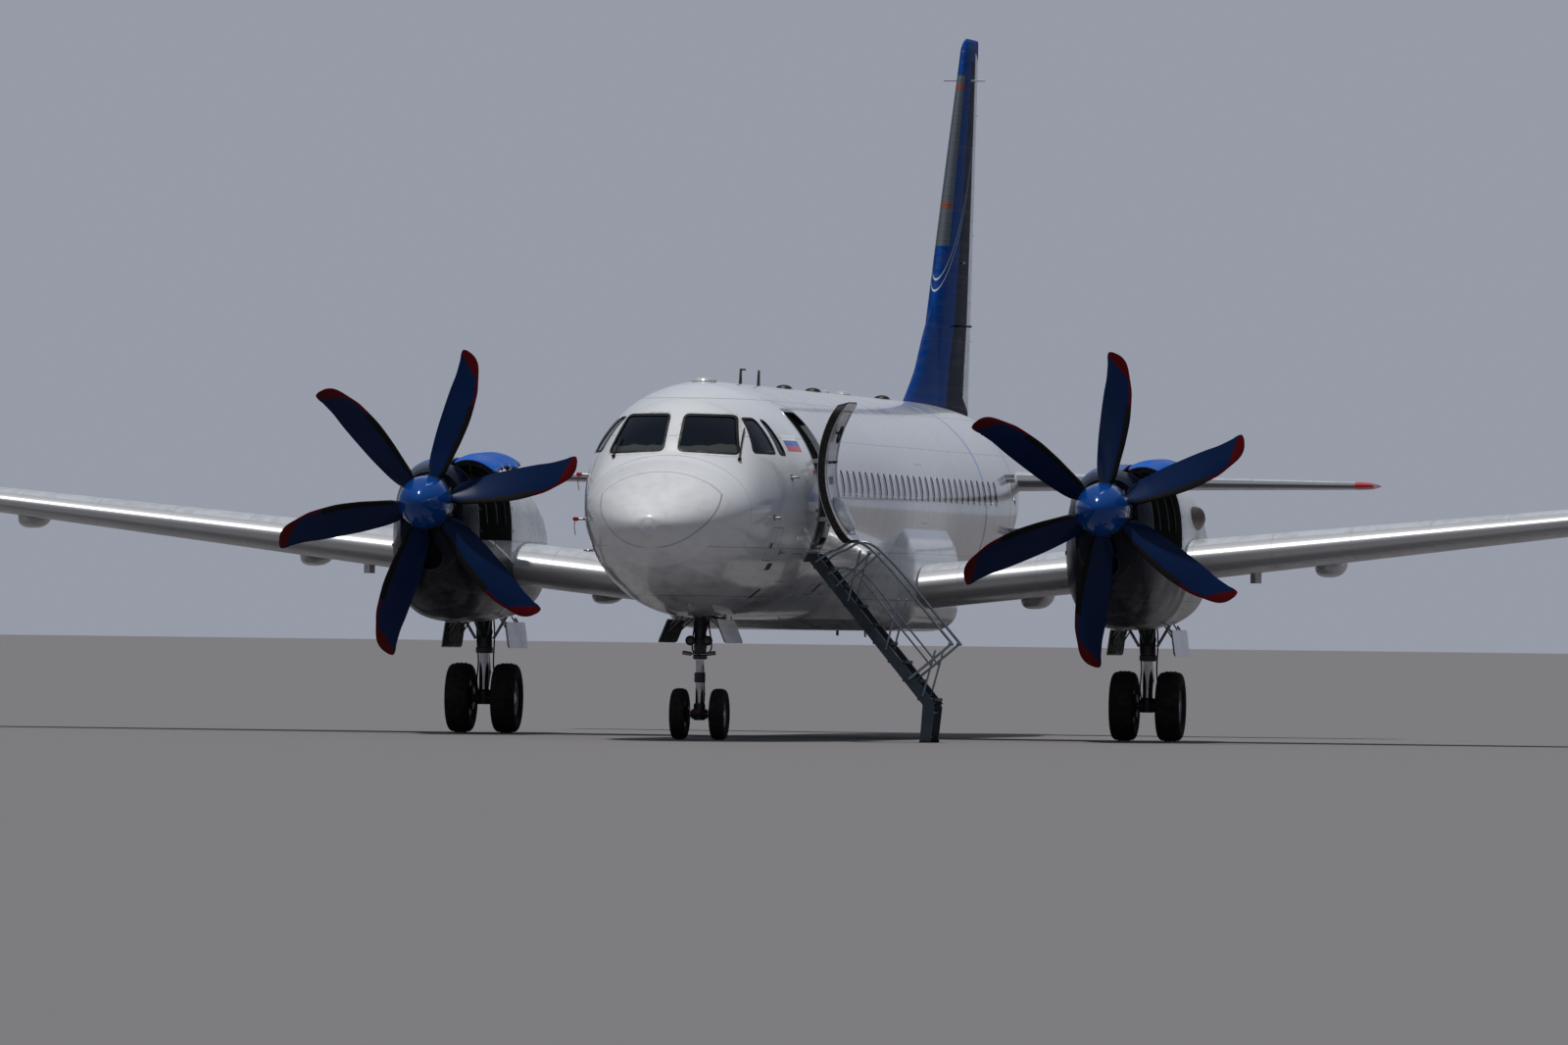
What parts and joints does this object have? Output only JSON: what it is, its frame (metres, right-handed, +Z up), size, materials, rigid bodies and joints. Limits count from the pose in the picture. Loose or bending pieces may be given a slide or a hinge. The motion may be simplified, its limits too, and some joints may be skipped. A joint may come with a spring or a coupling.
{
  "type": "turboprop airliner",
  "caption": "Low-wing twin-turboprop airliner parked on its gear, scimitar propellers, forward door and upper cowls open, airstair lowered.",
  "frame": {"origin": "on the ground, under the middle of the aircraft's length and span", "axes": "+X towards the port wing tip, nose towards -Y, +Z up"},
  "size_m": [29.9934, 26.88, 9.19],
  "materials": {
    "white_paint": "gloss",
    "blue_paint": "gloss",
    "wing_skin": "gloss",
    "blade_paint": "satin",
    "gear_paint": "satin",
    "wheel_metal": "satin",
    "engine_metal": "satin",
    "stair_metal": "satin",
    "cabin_trim": "matte",
    "tyre_rubber": "matte",
    "cockpit_glass": "gloss"
  },
  "bodies": {
    "airframe": {"radome": "white_paint", "cockpit_section": "white_paint", "entry_section": "white_paint", "centre_fuselage": "white_paint", "rear_fuselage": "white_paint", "cockpit_glazing": "cockpit_glass", "flight_deck": "cabin_trim", "airstair": "stair_metal", "wing_port": "wing_skin", "wing_starboard": "wing_skin", "flap_inboard_port": "white_paint", "flap_inboard_starboard": "white_paint", "flap_outboard_port": "white_paint", "flap_outboard_starboard": "white_paint", "belly_fairing": "white_paint", "fin": "blue_paint", "tailplane_port": "wing_skin", "tailplane_starboard": "wing_skin", "nacelle_port": "white_paint", "nacelle_starboard": "white_paint", "engine_port": "engine_metal", "engine_starboard": "engine_metal", "nose_gear_leg": "gear_paint", "main_gear_leg_port": "gear_paint", "main_gear_leg_starboard": "gear_paint", "nose_gear_door_port": "white_paint", "nose_gear_door_starboard": "white_paint", "main_gear_door_outer_port": "white_paint", "main_gear_door_inner_port": "white_paint", "main_gear_door_outer_starboard": "white_paint", "main_gear_door_inner_starboard": "white_paint"},
    "front_passenger_door": {"passenger_door_front": "white_paint"},
    "rear_passenger_door": {"passenger_door_rear": "white_paint"},
    "rear_service_door": {"service_door_rear": "white_paint"},
    "port_aileron": {"aileron_port": "white_paint"},
    "starboard_aileron": {"aileron_starboard": "white_paint"},
    "rudder": {"rudder": "white_paint"},
    "port_elevator": {"elevator_port": "white_paint"},
    "starboard_elevator": {"elevator_starboard": "white_paint"},
    "port_cowl_door": {"cowl_door_port": "blue_paint"},
    "starboard_cowl_door": {"cowl_door_starboard": "blue_paint"},
    "port_propeller": {"propeller_port": "blade_paint", "spinner_port": "blue_paint"},
    "starboard_propeller": {"propeller_starboard": "blade_paint", "spinner_starboard": "blue_paint"},
    "nose_steering": {"nose_steering_leg": "gear_paint"},
    "nose_wheel_pair": {"nose_wheels": "wheel_metal", "nose_tyre_port": "tyre_rubber", "nose_tyre_starboard": "tyre_rubber"},
    "port_wheel_pair": {"main_wheels_port": "wheel_metal", "main_tyre_outer_port": "tyre_rubber", "main_tyre_inner_port": "tyre_rubber"},
    "starboard_wheel_pair": {"main_wheels_starboard": "wheel_metal", "main_tyre_outer_starboard": "tyre_rubber", "main_tyre_inner_starboard": "tyre_rubber"}
  },
  "joints": [
    {"name": "port_propeller_spin", "type": "hinge", "parent": "airframe", "child": "port_propeller", "pos_m": [4.2, -4.54, 2.85], "axis": [0, 1, 0], "continuous": true},
    {"name": "starboard_propeller_spin", "type": "hinge", "parent": "airframe", "child": "starboard_propeller", "pos_m": [-4.2, -4.54, 2.85], "axis": [0, 1, 0], "continuous": true},
    {"name": "nose_wheel_steering", "type": "hinge", "parent": "airframe", "child": "nose_steering", "pos_m": [0, -9.44, 0.62], "axis": [0, 0, 1], "range_deg": [-55, 55]},
    {"name": "nose_wheel_spin", "type": "hinge", "parent": "nose_steering", "child": "nose_wheel_pair", "pos_m": [0, -9.44, 0.31], "axis": [1, 0, 0], "continuous": true},
    {"name": "port_wheel_spin", "type": "hinge", "parent": "airframe", "child": "port_wheel_pair", "pos_m": [4.2, -0.31, 0.44], "axis": [1, 0, 0], "continuous": true},
    {"name": "starboard_wheel_spin", "type": "hinge", "parent": "airframe", "child": "starboard_wheel_pair", "pos_m": [-4.2, -0.31, 0.44], "axis": [1, 0, 0], "continuous": true},
    {"name": "rudder_hinge", "type": "hinge", "parent": "airframe", "child": "rudder", "pos_m": [0, 11.89, 4.42], "axis": [0, 0.1858, 0.9826], "range_deg": [-25, 25]},
    {"name": "port_elevator_hinge", "type": "hinge", "parent": "airframe", "child": "port_elevator", "pos_m": [1, 11.86738, 3.33], "axis": [0.9955, 0.0953, 0], "range_deg": [-15, 25]},
    {"name": "starboard_elevator_hinge", "type": "hinge", "parent": "airframe", "child": "starboard_elevator", "pos_m": [-1, 11.86738, 3.33], "axis": [0.9955, -0.0953, 0], "range_deg": [-15, 25]},
    {"name": "port_aileron_hinge", "type": "hinge", "parent": "airframe", "child": "port_aileron", "pos_m": [10.26806, -0.08123, 2.85549], "axis": [0.9921, -0.0611, 0.1091], "range_deg": [-20, 20]},
    {"name": "starboard_aileron_hinge", "type": "hinge", "parent": "airframe", "child": "starboard_aileron", "pos_m": [-10.26806, -0.08123, 2.85549], "axis": [0.9921, 0.0611, -0.1091], "range_deg": [-20, 20]},
    {"name": "front_passenger_door_hinge", "type": "hinge", "parent": "airframe", "child": "front_passenger_door", "pos_m": [1.4535, -9.29, 3.1], "axis": [-0.1289, 0, 0.9917], "range_deg": [0, 180]},
    {"name": "rear_passenger_door_hinge", "type": "hinge", "parent": "airframe", "child": "rear_passenger_door", "pos_m": [1.4792, 6.94, 3.1], "axis": [-0.1289, 0, 0.9917], "range_deg": [-175, 0]},
    {"name": "rear_service_door_hinge", "type": "hinge", "parent": "airframe", "child": "rear_service_door", "pos_m": [-1.4792, 6.94, 3.1], "axis": [0.1289, 0, 0.9917], "range_deg": [0, 175]},
    {"name": "port_cowl_door_hinge", "type": "hinge", "parent": "airframe", "child": "port_cowl_door", "pos_m": [4.35, -3.1, 3.44], "axis": [0, 1, 0], "range_deg": [0, 36]},
    {"name": "starboard_cowl_door_hinge", "type": "hinge", "parent": "airframe", "child": "starboard_cowl_door", "pos_m": [-4.05, -3.1, 3.44], "axis": [0, 1, 0], "range_deg": [0, 36]}
  ],
  "couplings": [
    {"joint": "starboard_elevator_hinge", "follows": "port_elevator_hinge", "ratio": 1},
    {"joint": "starboard_aileron_hinge", "follows": "port_aileron_hinge", "ratio": -1}
  ]
}
